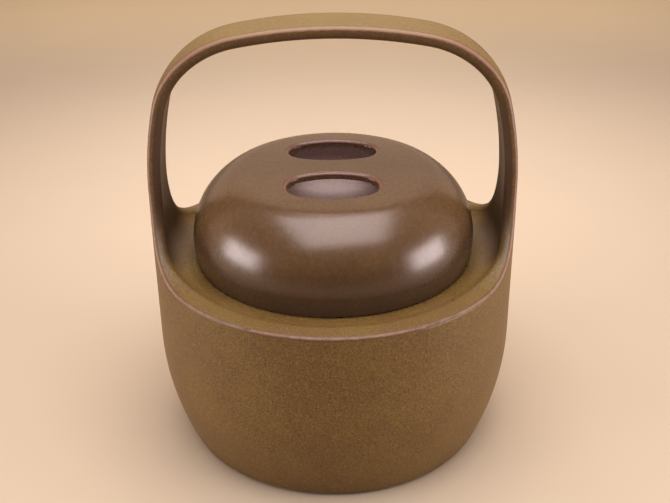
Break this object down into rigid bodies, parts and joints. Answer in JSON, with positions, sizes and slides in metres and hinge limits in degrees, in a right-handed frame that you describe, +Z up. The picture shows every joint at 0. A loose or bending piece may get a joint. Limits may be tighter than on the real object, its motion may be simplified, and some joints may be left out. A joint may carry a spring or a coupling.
{
  "type": "covered serving dish",
  "caption": "Round stoneware serving dish with a wide arched strap handle and a lift-off domed lid, pinched by a bridge over a sunk finger well.",
  "frame": {"origin": "middle of the foot, on the table", "axes": "+Z up through the lid and the handle's crown, X along the span of the handle, -Y the front"},
  "size_m": [0.197, 0.197, 0.235],
  "materials": {
    "pot_glaze": "satin",
    "lid_glaze": "satin"
  },
  "bodies": {
    "base": {"pot": "pot_glaze", "strap_handle": "pot_glaze"},
    "lid": {"lid": "lid_glaze", "lid_bridge": "lid_glaze", "lid_well": "lid_glaze", "lid_flange": "lid_glaze"}
  },
  "joints": [
    {"name": "lid_lift", "type": "slide", "parent": "base", "child": "lid", "axis": [0, 0, 1], "range_m": [0, 0.06]}
  ]
}
